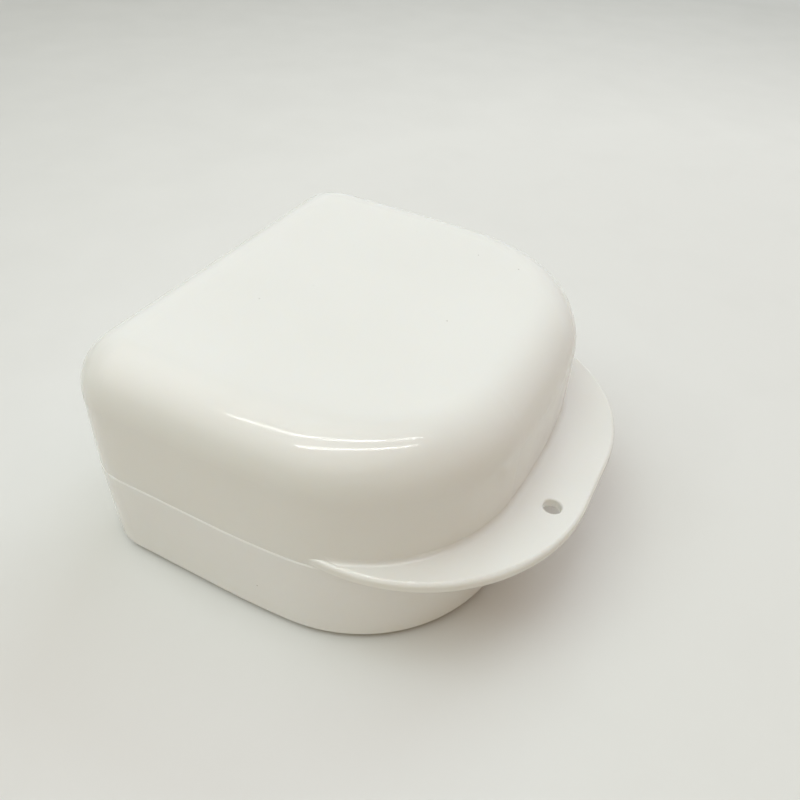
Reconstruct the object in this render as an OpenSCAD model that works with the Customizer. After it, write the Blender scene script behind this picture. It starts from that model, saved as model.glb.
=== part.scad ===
// Denture case of two injection-moulded shells. The D-shaped base tray stands on a foot ring
// and carries two hinge ears on its flat back. The domed lid has a thumb lip with a lanyard
// hole at the front, laps over a tongue on the tray's rim and snaps over a bead there.

/* [Outline] */
// Width of the tray's rim across its two sides
body_w = 76; // [68:1:90]
// Length of each side from the back face to where the side starts to bow in
side_len = 28.8; // [24:0.1:36]
// Radius of the slight bow in each side
side_r = 150; // [110:10:220]
// Angle that each bow turns through
side_turn = 4.9; // [2:0.1:8]
// Radius of the two front corners
corner_r = 28; // [22:1:31]
// Angle that each half of the nearly flat front turns through
front_turn = 5.3; // [4:0.1:10]
// Radius of the two back corners
back_r = 10; // [9:0.5:14]

/* [Shells] */
// Height of the tray's rim above the table
tray_h = 18; // [15:0.5:26]
// Height of the lid above the rim
lid_h = 22.5; // [18:0.5:30]
// Thickness of the side walls
wall = 1.8; // [1.6:0.1:2.4]
// Thickness of the tray's floor
floor_t = 1.8; // [1.2:0.1:3]
// Thickness of the lid's top
top_t = 1.8; // [1.2:0.1:3]
// Angle that the tray's walls lean in towards the floor
tray_draft = 1.9; // [0.5:0.1:3]
// Angle that the lid's walls lean in towards the top
lid_draft = 0.6; // [0.3:0.1:2]
// Radius of the round between the lid's walls and its top
lid_top_r = 8.7; // [3:0.1:10]
// Radius of the round between the tray's walls and its floor, inside
floor_r = 4; // [1:0.5:6]
// Radius of the tray's lower outer edge
tray_edge_r = 0.4; // [0.2:0.1:1]

/* [Foot ring] */
// Height of the foot ring, which lifts the tray's edge off the table
foot_h = 1; // [0.6:0.1:2]
// Width of the foot ring
foot_w = 1.6; // [1:0.1:3]
// Distance from the tray's outline in to the foot ring
foot_inset = 4; // [2:0.5:5]

/* [Rim] */
// Height of the tongue that the lid laps over
tongue_h = 2; // [1.2:0.1:3]
// Thickness of the lid's skirt outside the tongue
skirt_t = 0.8; // [0.6:0.05:1]
// Gap between the tongue and the lid
rim_clear = 0.2; // [0.1:0.05:0.3]
// Distance that the lid stands in from the tray's outline, seen as a fine ledge
rim_step = 0.1; // [0.05:0.05:0.4]
// Radius of the rim's outer edge
rim_edge_r = 0.4; // [0.2:0.05:0.6]
// Chamfer on the tongue's top outer edge
tongue_chamfer = 0.25; // [0.1:0.05:0.4]

/* [Snap bead] */
// Length of the bead along the front of the tongue
snap_len = 16; // [8:1:20]
// Radius of the bead's round section
snap_r = 0.5; // [0.4:0.05:0.7]
// Distance that the bead stands out of the tongue
snap_out = 0.35; // [0.25:0.05:0.4]
// Height of the bead's centre above the rim
snap_z = 0.9; // [0.8:0.05:1.1]
// Gap between the bead and its groove in the lid
snap_clear = 0.1; // [0.05:0.05:0.15]

/* [Thumb lip] */
// Thickness of the lip, whose underside is level with the rim
lip_t = 1.8; // [1.2:0.1:2]
// Distance that the lip stands out past the tray's front
lip_reach = 10.2; // [6:0.2:14]
// Radius of the lip's two corners
lip_corner_r = 30.8; // [27:0.2:34]
// Distance from the tray's side in to the widest point of the lip's corners
lip_inset = 1.2; // [0.8:0.1:2]
// Radius of the lip's upper edge
lip_edge_r = 0.7; // [0.3:0.1:0.8]
// Radius of the lip's lower edge
lip_under_r = 0.3; // [0.1:0.1:0.4]
// Radius of the fillet where the lid's wall meets the lip
lip_root_r = 0.8; // [0.3:0.1:1.5]

/* [Lanyard hole] */
// Diameter of the hole
hole_d = 3; // [2:0.1:5]
// Place of the hole to the right of the lip's middle; negative is to the left
hole_x = -9.1; // [-14:0.1:14]
// Distance from the lip's front edge to the hole's centre
hole_edge = 4.8; // [3.5:0.1:6]
// Radius of the hole's two rounded edges
hole_round = 0.3; // [0.1:0.05:0.4]

/* [Hinge] */
// Distance from the back face to the hinge axis
hinge_back = 3.4; // [3.2:0.1:4.5]
// Radius of the lid's knuckle
knuckle_r = 2.6; // [2.2:0.1:2.8]
// Length of the lid's knuckle
knuckle_len = 24; // [14:1:36]
// Radius of the tray's ears around the hinge axis
ear_r = 2.9; // [2.4:0.1:3]
// Thickness of each ear
ear_t = 3; // [2:0.1:4]
// Gap between the knuckle and each ear
ear_gap = 0.3; // [0.15:0.05:0.5]
// Radius of the stub pin at each end of the knuckle
pin_r = 1.3; // [1:0.1:1.6]
// Radial clearance of the stub pins in the ears
pin_clear = 0.05; // [0.02:0.01:0.1]
// Distance that each pin ends short of its ear's outer face
pin_short = 0.2; // [0:0.1:0.5]
// Chamfer on the pins' ends
pin_chamfer = 0.4; // [0.2:0.1:0.6]
// Height above the rim where the lid's hinge web starts
web_low = 0.3; // [0.2:0.1:0.6]

/* [Hidden] */
$fn = 96;
sweep_fn = 240;
// Overlap that joins pieces of one moulding, and the run-out of cuts
join = 0.5;
run_out = 1;
// Overlap of the stretches of a wall, too fine to measure, that makes them one solid
hair = 0.000002;

half_w = body_w / 2;
// The front's radius follows, because all the arcs run into one another without a corner
side_c = [half_w - side_r, -side_len];
corner_c = side_c + (side_r - corner_r) * [cos(side_turn), -sin(side_turn)];
front_r = corner_r + corner_c.x / sin(front_turn);
front_c = [0, corner_c.y + (front_r - corner_r) * cos(front_turn)];
front_y = front_c.y - front_r;

// Stretches of the outline's right half: [centre, radius, start angle, angle turned]
back_arc = [[half_w - back_r, -back_r], back_r, 0, 90];
side_arc = [side_c, side_r, -side_turn, side_turn];
corner_arc = [corner_c, corner_r, front_turn - 90 - hair, 90 - front_turn - side_turn + 2 * hair];
front_arc = [front_c, front_r, -90 - front_turn, 2 * front_turn];

// The swept sections end at core_in, and a filled core reaches out to core_out to meet them
core_in = back_r - 0.2;
core_out = back_r - 0.6;
flat_gap = 0.9;

// The lid's big round is limited by the back corners that it has to turn
lid_lean = lid_h * tan(lid_draft);
lid_r = floor(10 * min(lid_top_r, back_r - rim_step - lid_lean - flat_gap)) / 10;
lid_wall_in = rim_step + wall;
skirt_in = rim_step + skirt_t;
tongue_in = skirt_in + rim_clear;
rebate_h = tongue_h + rim_clear;

lip_c = [half_w - lip_inset - lip_corner_r, front_y - lip_reach + lip_corner_r];
// Angle past square that the lip's corners run on, to end inside the lid's wall
lip_tail = 8;
hole_c = [hole_x, front_y - lip_reach + hole_edge];

hinge_c = [0, hinge_back, tray_h];
// The origin lies under the middle of the whole case's box, lip and hinge included
back_y = (lip_reach - front_y - hinge_back - ear_r) / 2;

shell_white = [0.93, 0.93, 0.91];

function arc_points(a, n, inset) = [
    for (i = [0 : n])
        let (t = a[2] + a[3] * i / n)
            a[0] + (a[1] - inset) * [cos(t), sin(t)]
];

// Moves in a coarse and a fine step. A position keeps all its digits that way when the shape
// is exported, so arcs that run into one another also meet there without a gap.
module place(p) {
    coarse = [for (v = p) round(10 * v) / 10];
    translate(coarse)
        translate(p - coarse)
            children();
}

// A quarter of a disc, from quadrant 0 at the upper right and on anticlockwise
module quarter(r, quadrant) {
    rotate(90 * quadrant)
        intersection() {
            circle(r);
            square(r);
        }
}

// Sweeps a section round one arc. In a section, x is the distance out from the outline.
module round_arc(a) {
    place(a[0])
        rotate_extrude(angle = a[3], start = a[2], $fn = sweep_fn)
            place([a[1], 0])
                children();
}

module round_front() {
    for (side = [0, 1])
        mirror([side, 0, 0])
            round_arc(corner_arc)
                children();
    round_arc(front_arc)
        children();
}

module round_outline() {
    round_front()
        children();
    for (side = [0, 1])
        mirror([side, 0, 0]) {
            round_arc(back_arc)
                children();
            round_arc(side_arc)
                children();
            translate([half_w, -back_r + hair, 0])
                rotate([90, 0, 0])
                    linear_extrude(side_len - back_r + 2 * hair)
                        children();
        }
    translate([back_r - half_w - hair, 0, 0])
        rotate([90, 0, 90])
            linear_extrude(2 * (half_w - back_r + hair))
                children();
}

module core_plan() {
    right = concat(
        arc_points(corner_arc, 12, core_out),
        arc_points(side_arc, 2, core_out),
        arc_points(back_arc, 3, core_out)
    );
    count = len(right);
    left = [for (i = [0 : count - 1]) [-right[count - 1 - i].x, right[count - 1 - i].y]];
    polygon(concat(arc_points(front_arc, 6, core_out), right, left));
}

// Section of a drafted block whose open end is at z = 0. Its wall starts inset from the
// outline, leans in by the draft angle and rounds over into the flat end at height h.
// open_r rounds the edge at the open end; below runs a cutting block on past it.
// The lean is taken to 0.01 mm, so that the wall and the round end at the same point.
module block_section(inset, h, draft, r, open_r, below) {
    cz = h - r;
    lean = round(100 * (cz - open_r) * tan(draft)) / 100;
    cx = -inset - lean - r;
    polygon([
        [-core_in, -below],
        [-inset - open_r, -below],
        [-inset - open_r, open_r],
        [-inset, open_r],
        [cx + r, cz],
        [cx, cz],
        [cx, h],
        [-core_in, h]
    ]);
    translate([cx, cz])
        quarter(r, 0);
    if (open_r > 0)
        translate([-inset - open_r, open_r])
            quarter(open_r, 3);
}

module block(inset, h, draft, r, open_r = 0, below = 0) {
    round_outline()
        block_section(inset, h, draft, r, open_r, below);
    translate([0, 0, -below])
        linear_extrude(h + below)
            core_plan();
}

// Turns a block's open end up, as the tray's is
module face_up() {
    translate([0, 0, tray_h])
        mirror([0, 0, 1])
            children();
}

module tongue_section() {
    top = tray_h + tongue_h;
    polygon([
        [-lid_wall_in - join, tray_h - join],
        [-tongue_in, tray_h - join],
        [-tongue_in, top - tongue_chamfer],
        [-tongue_in - tongue_chamfer, top],
        [-lid_wall_in - join, top]
    ]);
}

module foot_section() {
    translate([-foot_inset - foot_w, 0])
        square([foot_w, foot_h + join]);
}

// The bead on the tongue, or with a gap added, the groove that it sits in
module snap_bead(gap) {
    half_angle = (snap_len / 2 + gap) / front_r * 180 / PI;
    translate([front_c.x, front_c.y, tray_h + snap_z])
        rotate_extrude(angle = 2 * half_angle, start = -90 - half_angle, $fn = sweep_fn)
            translate([front_r - tongue_in + snap_out - snap_r, 0])
                circle(snap_r + gap, $fn = 32);
}

// Extrudes a section in the Y-Z plane about the hinge axis, from x = start
module along_hinge(start, length) {
    translate(hinge_c + [start, 0, 0])
        rotate([90, 0, 90])
            linear_extrude(length)
                children();
}

// An ear is round about the axis, with a 45 degree gusset down to the tray's back
module ear_section() {
    root = -hinge_back - wall / 2;
    edge = ear_r / sqrt(2);
    circle(ear_r);
    polygon([
        [root, -web_low],
        [0, -web_low],
        [edge, -edge],
        [root, root - 2 * edge]
    ]);
}

module ears() {
    for (side = [0, 1])
        mirror([side, 0, 0])
            along_hinge(knuckle_len / 2 + ear_gap, ear_t)
                ear_section();
}

module ear_bores() {
    span = knuckle_len + 2 * (ear_gap + ear_t + run_out);
    along_hinge(-span / 2, span)
        circle(pin_r + pin_clear);
}

module base_tray() {
    color(shell_white)
        translate([0, back_y, 0])
            difference() {
                union() {
                    face_up()
                        block(0, tray_h - foot_h, tray_draft, tray_edge_r, open_r = rim_edge_r);
                    round_outline()
                        tongue_section();
                    round_outline()
                        foot_section();
                    snap_bead(0);
                    ears();
                }
                face_up()
                    block(lid_wall_in, tray_h - foot_h - floor_t, tray_draft, floor_r,
                        below = tongue_h + run_out);
                ear_bores();
            }
}

// Section of the lip, from a corner's centre out to its edge
module lip_section() {
    polygon([
        [0, 0],
        [lip_corner_r - lip_under_r, 0],
        [lip_corner_r - lip_under_r, lip_under_r],
        [lip_corner_r, lip_under_r],
        [lip_corner_r, lip_t - lip_edge_r],
        [lip_corner_r - lip_edge_r, lip_t - lip_edge_r],
        [lip_corner_r - lip_edge_r, lip_t],
        [0, lip_t]
    ]);
    translate([lip_corner_r - lip_edge_r, lip_t - lip_edge_r])
        quarter(lip_edge_r, 0);
    translate([lip_corner_r - lip_under_r, lip_under_r])
        quarter(lip_under_r, 3);
}

module lip_plan(inset) {
    for (side = [-1, 1])
        translate([side * lip_c.x, lip_c.y])
            circle(lip_corner_r - inset, $fn = sweep_fn);
    translate([-lip_c.x, lip_c.y - lip_corner_r + inset])
        square([2 * lip_c.x, lip_corner_r]);
}

module lip() {
    translate([0, 0, tray_h]) {
        for (side = [0, 1])
            mirror([side, 0, 0])
                translate(lip_c)
                    rotate_extrude(angle = 90 + lip_tail, start = -90, $fn = sweep_fn)
                        lip_section();
        translate([-lip_c.x, lip_c.y, 0])
            rotate([90, 0, 90])
                linear_extrude(2 * lip_c.x)
                    mirror([1, 0])
                        lip_section();
    }
}

// The fillet follows the lid's wall and stops where the lip runs out
module lip_root() {
    translate([0, 0, tray_h])
        intersection() {
            round_front()
                translate([-rim_step, lip_t])
                    difference() {
                        translate([-join, -join])
                            square(lip_root_r + join);
                        translate([lip_root_r, lip_root_r])
                            circle(lip_root_r);
                    }
            linear_extrude(lip_t + 2 * lip_root_r)
                lip_plan(lip_edge_r);
        }
}

module lanyard_hole() {
    translate([hole_c.x, hole_c.y, tray_h])
        rotate_extrude() {
            translate([0, -run_out])
                square([hole_d / 2, lip_t + 2 * run_out]);
            for (end = [0, 1])
                translate([0, end * lip_t])
                    mirror([0, end])
                        translate([0, -run_out])
                            difference() {
                                square([hole_d / 2 + hole_round, run_out + hole_round]);
                                translate([hole_d / 2 + hole_round, run_out + hole_round])
                                    circle(hole_round, $fn = 32);
                            }
        }
}

module knuckle() {
    root = -hinge_back - rim_step - skirt_t / 2;
    along_hinge(-knuckle_len / 2, knuckle_len) {
        circle(knuckle_r);
        polygon([
            [root, web_low],
            [0, web_low],
            [0, knuckle_r],
            [root, knuckle_r]
        ]);
    }
}

module stub_pins() {
    pin_len = ear_gap + ear_t - pin_short;
    for (side = [0, 1])
        mirror([side, 0, 0])
            translate(hinge_c + [knuckle_len / 2 - join, 0, 0])
                rotate([0, 90, 0]) {
                    cylinder(r = pin_r, h = pin_len + join - pin_chamfer);
                    translate([0, 0, pin_len + join - pin_chamfer])
                        cylinder(r1 = pin_r, r2 = pin_r - pin_chamfer, h = pin_chamfer);
                }
}

module rebate_section() {
    translate([-lid_wall_in - join, -run_out])
        square([lid_wall_in + join - skirt_in, rebate_h + run_out]);
}

module hinged_lid() {
    color(shell_white)
        translate([0, back_y, 0])
            difference() {
                union() {
                    translate([0, 0, tray_h])
                        block(rim_step, lid_h, lid_draft, lid_r);
                    lip();
                    lip_root();
                    knuckle();
                    stub_pins();
                }
                translate([0, 0, tray_h]) {
                    block(lid_wall_in, lid_h - top_t, lid_draft, max(lid_r - wall, 0.5),
                        below = run_out);
                    round_outline()
                        rebate_section();
                }
                snap_bead(snap_clear);
                lanyard_hole();
            }
}

base_tray();
hinged_lid();
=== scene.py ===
from math import cos, radians, sin

import bpy
from mathutils import Matrix, Quaternion, Vector

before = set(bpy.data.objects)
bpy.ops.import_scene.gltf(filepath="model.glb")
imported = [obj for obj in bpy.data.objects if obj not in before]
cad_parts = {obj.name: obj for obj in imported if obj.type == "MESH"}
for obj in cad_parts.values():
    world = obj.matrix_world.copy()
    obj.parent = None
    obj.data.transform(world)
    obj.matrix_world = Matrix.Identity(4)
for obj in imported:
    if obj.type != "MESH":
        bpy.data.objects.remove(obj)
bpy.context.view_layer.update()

# The camera. It looks down on the left front of the closed case from close by, as the
# photograph does, so the far back corner comes out clearly smaller than the near one.
look_at = Vector((0.01145, 0.00033, 0.01038))
camera_distance = 0.15085
view_turn, view_height, view_roll = radians(-64.58), radians(40.01), radians(3.88)
toward_camera = Vector((
    sin(view_turn) * cos(view_height),
    -cos(view_turn) * cos(view_height),
    sin(view_height),
))
camera = bpy.data.objects.new("camera", bpy.data.cameras.new("camera"))
camera.data.sensor_width = 36
camera.data.lens = 33.73
camera.data.clip_start = 0.005
camera.location = look_at + camera_distance * toward_camera
camera.rotation_mode = "QUATERNION"
upright = toward_camera.to_track_quat("Z", "Y")
camera.rotation_quaternion = upright @ Quaternion((0, 0, 1), view_roll)
bpy.context.scene.collection.objects.link(camera)
bpy.context.scene.camera = camera


# The tray: the lower shell, moulded in one with its foot ring, the tongue that the lid laps
# over, the snap bead and the hinge ears. It is a white plastic from a mould that is polished
# outside and satin inside, so the group below gives both finishes to both shells.
def add(tree, kind, sockets=None, **settings):
    """Adds a shader node; a socket is given a value or is linked to another node's output."""
    made = tree.nodes.new("ShaderNode" + kind)
    for name, value in settings.items():
        setattr(made, name, value)
    for name, value in (sockets or {}).items():
        if isinstance(value, bpy.types.NodeSocket):
            tree.links.new(value, made.inputs[name])
        else:
            made.inputs[name].default_value = value
    return made


def noise(tree, where, scale, detail):
    """A cloudy pattern from 0 to 1; scale says how many of its clouds lie in a metre."""
    sockets = {"Vector": where, "Scale": scale, "Detail": detail}
    return add(tree, "TexNoise", sockets).outputs["Fac"]


def spread(tree, value, low, high, to_low=0.0, to_high=1.0):
    """Maps low..high to to_low..to_high, and holds the ends."""
    return add(tree, "MapRange", {
        "Value": value, "From Min": low, "From Max": high, "To Min": to_low, "To Max": to_high,
    }).outputs["Result"]


def maths(tree, operation, *values):
    return add(tree, "Math", dict(enumerate(values)), operation=operation).outputs["Value"]


def distance(tree, where, point):
    return add(tree, "VectorMath", {0: where, 1: point}, operation="DISTANCE").outputs["Value"]


def mix(tree, factor, first, second, kind="RGBA"):
    """Goes from first to second as factor goes from 0 to 1."""
    sockets = {"Factor": factor, "A": first, "B": second}
    return add(tree, "Mix", sockets, data_type=kind).outputs["Result"]


def moulded_finish():
    """The skin of a moulded shell: its colour, with a painted highlight along a rim, its
    roughness and relief over the surface.
    """
    tree = bpy.data.node_groups.new("moulded_finish", "ShaderNodeTree")
    for name, kind, start in (
        ("Bright", "NodeSocketColor", (0.85, 0.85, 0.82, 1)),
        ("Deep", "NodeSocketColor", (0.8, 0.8, 0.77, 1)),
        ("Speck", "NodeSocketColor", (0.30, 0.26, 0.22, 1)),
        ("Scuffed", "NodeSocketColor", (0.72, 0.71, 0.68, 1)),
        # The next colour is the painted highlight along the rim
        ("Rim Highlight", "NodeSocketColor", (0.93, 0.925, 0.905, 1)),
        ("Rim", "NodeSocketFloat", -1.0),
        ("Middle", "NodeSocketVector", (0, 0, 0)),
        ("Handled", "NodeSocketVector", (0, 0, 0)),
        ("Handled Reach", "NodeSocketFloat", 0.02),
        ("Polished", "NodeSocketFloat", 0.09),
        ("Satin", "NodeSocketFloat", 0.4),
    ):
        socket = tree.interface.new_socket(name=name, in_out="INPUT", socket_type=kind)
        socket.default_value = start
    for name, kind in (
        ("Color", "NodeSocketColor"),
        ("Roughness", "NodeSocketFloat"),
        ("Height", "NodeSocketFloat"),
    ):
        tree.interface.new_socket(name=name, in_out="OUTPUT", socket_type=kind)
    given = tree.nodes.new("NodeGroupInput").outputs
    place = add(tree, "TexCoord").outputs
    where = place["Object"]

    # Inside or outside: whether the surface faces the middle of the shell
    turnover = 0.0002
    outward = add(tree, "VectorMath", {0: where, 1: given["Middle"]}, operation="SUBTRACT")
    facing = add(tree, "VectorMath", {
        0: outward.outputs["Vector"], 1: place["Normal"],
    }, operation="DOT_PRODUCT")
    inside = spread(tree, facing.outputs["Value"], turnover, -turnover)
    outside = maths(tree, "SUBTRACT", 1.0, inside)

    # Flow of the melt, and the few specks of burnt dust that were moulded in
    flow = noise(tree, where, scale=26, detail=3)
    shade = mix(tree, spread(tree, flow, 0.3, 0.7), given["Bright"], given["Deep"])
    speck_edge, speck_core, speck_strength = 0.022, 0.012, 0.6
    grains = add(tree, "TexVoronoi", {"Vector": where, "Scale": 130}).outputs["Distance"]
    specks = spread(tree, grains, speck_edge, speck_core, to_high=speck_strength)
    shade = mix(tree, specks, shade, given["Speck"])

    # Hair scratches in two directions, closer together where hands rub the shell
    lines = []
    for turn, strokes in ((0.5, (110, 6000, 6000)), (-0.9, (5200, 90, 5200))):
        turned = add(tree, "Mapping", {
            "Vector": where, "Rotation": (0.3, 0.2, turn), "Scale": strokes,
        }).outputs["Vector"]
        lines.append(spread(tree, noise(tree, turned, scale=1, detail=1), 0.68, 0.78))
    scratches = maths(tree, "MAXIMUM", *lines)
    reach = maths(tree, "DIVIDE", distance(tree, where, given["Handled"]), given["Handled Reach"])
    patches = spread(tree, noise(tree, where, scale=160, detail=4), 0.35, 0.65)
    handled = maths(tree, "MULTIPLY", spread(tree, reach, 1.0, 0.35), patches)
    rubbed_everywhere, rubbed_by_hands = 0.3, 0.7
    wear = maths(tree, "MULTIPLY_ADD", handled, rubbed_by_hands, rubbed_everywhere)
    rubbed = maths(tree, "MULTIPLY", scratches, wear)

    # The foot ring is scuffed where it slides over a shelf
    sole_top, sole_full, sole_strength = 0.0003, 0.00005, 0.8
    height = add(tree, "SeparateXYZ", {"Vector": where}).outputs["Z"]
    scuffs = spread(tree, noise(tree, where, scale=700, detail=3), 0.4, 0.55)
    sole = maths(tree, "MULTIPLY", spread(tree, height, sole_top, sole_full), scuffs)
    colour = mix(tree, maths(tree, "MULTIPLY", sole, sole_strength), shade, given["Scuffed"])

    # A painted highlight along the round edge of a rim at the given height, where the other shell
    # meets it: a thin paler line, as where that edge catches the light
    rim_reach, rim_core, rim_highlight_strength = 0.0003, 0.00015, 0.6
    off_rim = maths(tree, "ABSOLUTE", maths(tree, "SUBTRACT", height, given["Rim"]))
    rim = spread(tree, off_rim, rim_reach, rim_core, to_high=rim_highlight_strength)
    colour = mix(tree, rim, colour, given["Rim Highlight"])

    # Roughness: the mould's own, uneven by a little, and what hands and the shelf add to it
    uneven, from_hands, from_wear = 0.05, 0.06, 0.12
    rough = mix(tree, inside, given["Polished"], given["Satin"], kind="FLOAT")
    clouds = noise(tree, where, scale=85, detail=4)
    rough = maths(tree, "ADD", rough, spread(tree, clouds, 0.3, 0.7, to_high=uneven))
    rough = maths(tree, "MULTIPLY_ADD", handled, from_hands, rough)
    rough = maths(tree, "MULTIPLY_ADD", maths(tree, "MAXIMUM", rubbed, sole), from_wear, rough)

    # Orange peel outside, the mould's spark texture inside, in parts of the Bump's distance
    spark_depth, scratch_depth = 0.5, 0.03
    peel = maths(tree, "MULTIPLY", noise(tree, where, scale=420, detail=2), outside)
    sparked = maths(tree, "MULTIPLY", inside, spark_depth)
    spark = maths(tree, "MULTIPLY", noise(tree, where, scale=3500, detail=2), sparked)
    scored = maths(tree, "MULTIPLY", scratches, scratch_depth)
    relief = maths(tree, "SUBTRACT", maths(tree, "ADD", peel, spark), scored)

    out = tree.nodes.new("NodeGroupOutput").inputs
    tree.links.new(colour, out["Color"])
    tree.links.new(rough, out["Roughness"])
    tree.links.new(relief, out["Height"])
    return tree


finish_group = moulded_finish()


def white_plastic(name, **finish):
    """A glossy, slightly translucent white plastic with the moulded finish on it."""
    material = bpy.data.materials.new(name)
    material.use_nodes = True
    tree = material.node_tree
    skin = add(tree, "Group", node_tree=finish_group)
    for socket, value in finish.items():
        skin.inputs[socket.replace("_", " ").title()].default_value = value
    relief = add(tree, "Bump", {
        "Strength": 0.12, "Distance": 0.0001, "Height": skin.outputs["Height"],
    })
    surface = tree.nodes["Principled BSDF"].inputs
    tree.links.new(skin.outputs["Color"], surface["Base Color"])
    tree.links.new(skin.outputs["Roughness"], surface["Roughness"])
    tree.links.new(relief.outputs["Normal"], surface["Normal"])
    surface["IOR"].default_value = 1.49
    surface["Subsurface Weight"].default_value = 0.18
    surface["Subsurface Radius"].default_value = (1.0, 0.8, 0.6)
    surface["Subsurface Scale"].default_value = 0.0015
    return material


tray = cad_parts["base_tray"]
tray.data.materials.clear()
tray.data.materials.append(white_plastic(
    "tray_white",
    bright=(0.843, 0.838, 0.828, 1),
    deep=(0.815, 0.808, 0.79, 1),
    middle=(0, 0, 0.018),
    handled=(0, -0.036, 0.01),
    handled_reach=0.03,
    rim=0.0178,
))

# The lid: the domed upper shell, moulded in one with its thumb lip, the hinge knuckle and
# the two stub pins, of the same plastic as the tray. Thumbs have dulled the lip a little.
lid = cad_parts["hinged_lid"]
lid.data.materials.clear()
lid.data.materials.append(white_plastic(
    "lid_white",
    bright=(0.812, 0.80, 0.772, 1),
    deep=(0.785, 0.773, 0.742, 1),
    middle=(0, 0, 0.0185),
    handled=(0, -0.04, 0.02),
    handled_reach=0.032,
))

# The table under the case, a pale matt board. Painted shade darkens its colour slightly
# towards its far left, where the light falls off, and a painted pool of light makes a paler
# patch at the left of the case. It thins out into the pale backdrop outside the camera's view,
# so no edge of it shows from low down.
brightest_place, painted_light_place = (0.075, -0.082, 0), (-0.062, -0.012, 0)
bright_board, painted_shade_board = (0.735, 0.72, 0.70, 1), (0.512, 0.502, 0.482, 1)
painted_light_colour = (0.775, 0.765, 0.755, 1)
bpy.ops.mesh.primitive_plane_add(size=3, location=(0, 0, 0))
table = bpy.context.object
table.name = "table"
board = bpy.data.materials.new("pale_board")
board.use_nodes = True
tree = board.node_tree
where = add(tree, "TexCoord").outputs["Object"]
away = distance(tree, where, brightest_place)
mottle = spread(tree, noise(tree, where, scale=45, detail=4), 0.3, 0.7, -0.04, 0.04)
# Painted shade: the board's colour darkens away from its brightest place, as the light falls off
painted_falloff = maths(tree, "ADD", spread(tree, away, 0.17, 0.44), mottle)
# Painted light: a paler pool of light on the board at the left of the case
painted_light_pool = spread(tree, distance(tree, where, painted_light_place), 0.052, 0.008)
colour = mix(tree, painted_light_pool, mix(tree, painted_falloff, bright_board, painted_shade_board), painted_light_colour)
surface = tree.nodes["Principled BSDF"]
tree.links.new(colour, surface.inputs["Base Color"])
surface.inputs["Roughness"].default_value = 0.6
surface.inputs["Specular IOR Level"].default_value = 0.0
fade = add(tree, "MixShader", {
    0: spread(tree, away, 0.42, 1.0),
    1: surface.outputs["BSDF"],
    2: add(tree, "BsdfTransparent").outputs["BSDF"],
})
tree.links.new(fade.outputs["Shader"], tree.nodes["Material Output"].inputs["Surface"])
table.data.materials.append(board)


# Soft studio light: two wide panels high on the left and on the right, and two lower ones
# behind and to the right. The plastic mirrors the pale room, a wide ceiling that fades out
# at its sides, and two thin tubes, which draw the bright lines along the lid's edge.
def lamp(name, size, power, middle, colour=(1, 1, 1), along=(0, 1, 0), mirrored=False, beam=180):
    """A rectangular lamp that faces the case, with its long side turned to run along.

    A mirrored lamp is only seen in gloss, and any other only gives light. The beam is the
    whole angle, in degrees, at which a lamp has faded out.
    """
    light = bpy.data.lights.new(name, "AREA")
    light.shape = "RECTANGLE"
    light.size, light.size_y = size
    light.energy = power
    light.color = colour
    light.spread = radians(beam)
    away = Vector(middle).normalized()
    across = away.cross(Vector(along)).normalized()
    turned = Matrix((across.cross(away), across, away)).transposed()
    shown = bpy.data.objects.new(name, light)
    shown.location = middle
    shown.rotation_mode = "QUATERNION"
    shown.rotation_quaternion = turned.to_quaternion()
    shown.visible_glossy = mirrored
    shown.visible_diffuse = not mirrored
    shown.visible_camera = False
    bpy.context.scene.collection.objects.link(shown)


def around(turn, height):
    """A panel's place; turn is counted from the back, clockwise seen from above."""
    panel_distance = 1.4
    flat = panel_distance * cos(radians(height))
    up = panel_distance * sin(radians(height))
    return flat * sin(radians(turn)), flat * cos(radians(turn)), up


high_panel, low_panel = (1.2, 1.2), (0.9, 0.9)
lamp("high_left", high_panel, 11.5, around(turn=315, height=65), (0.82, 0.98, 1.0))
lamp("high_right", high_panel, 3.6, around(turn=135, height=65), (0.8, 0.77, 1.0))
lamp("low_back", low_panel, 1.2, around(turn=0, height=35), (0.55, 0.68, 1.0))
lamp("low_right", low_panel, 7.3, around(turn=90, height=35), (0.74, 0.91, 1.0))
lamp("far_tube", (1.34, 0.018), 2.1, (-0.26, 0.07, 1.1), along=(-0.57, 0.82, 0), mirrored=True)
lamp("near_tube", (1.23, 0.018), 2.5, (-0.51, -0.16, 1.1), along=(-0.66, 0.75, 0), mirrored=True)
lamp("ceiling", (4.4, 4.4), 52, (-0.75, 0.3, 1.4), mirrored=True, beam=110)

# The room round the table: a warm, dim light on everything, which the camera and the gloss
# see as a pale backdrop instead.
world = bpy.data.worlds.new("room")
world.use_nodes = True
tree = world.node_tree
room = tree.nodes["Background"]
room.inputs["Color"].default_value = (1.0, 0.80, 0.53, 1)
room.inputs["Strength"].default_value = 0.395
backdrop = add(tree, "Background", {"Color": (0.79, 0.79, 0.775, 1), "Strength": 1.0})
ray = add(tree, "LightPath").outputs
seen = maths(tree, "MAXIMUM", ray["Is Camera Ray"], ray["Is Glossy Ray"])
seen = maths(tree, "MAXIMUM", seen, ray["Is Transmission Ray"])
both = add(tree, "MixShader", {
    0: seen, 1: room.outputs["Background"], 2: backdrop.outputs["Background"],
})
tree.links.new(both.outputs["Shader"], tree.nodes["World Output"].inputs["Surface"])
bpy.context.scene.world = world
bpy.context.scene.view_settings.view_transform = "Standard"
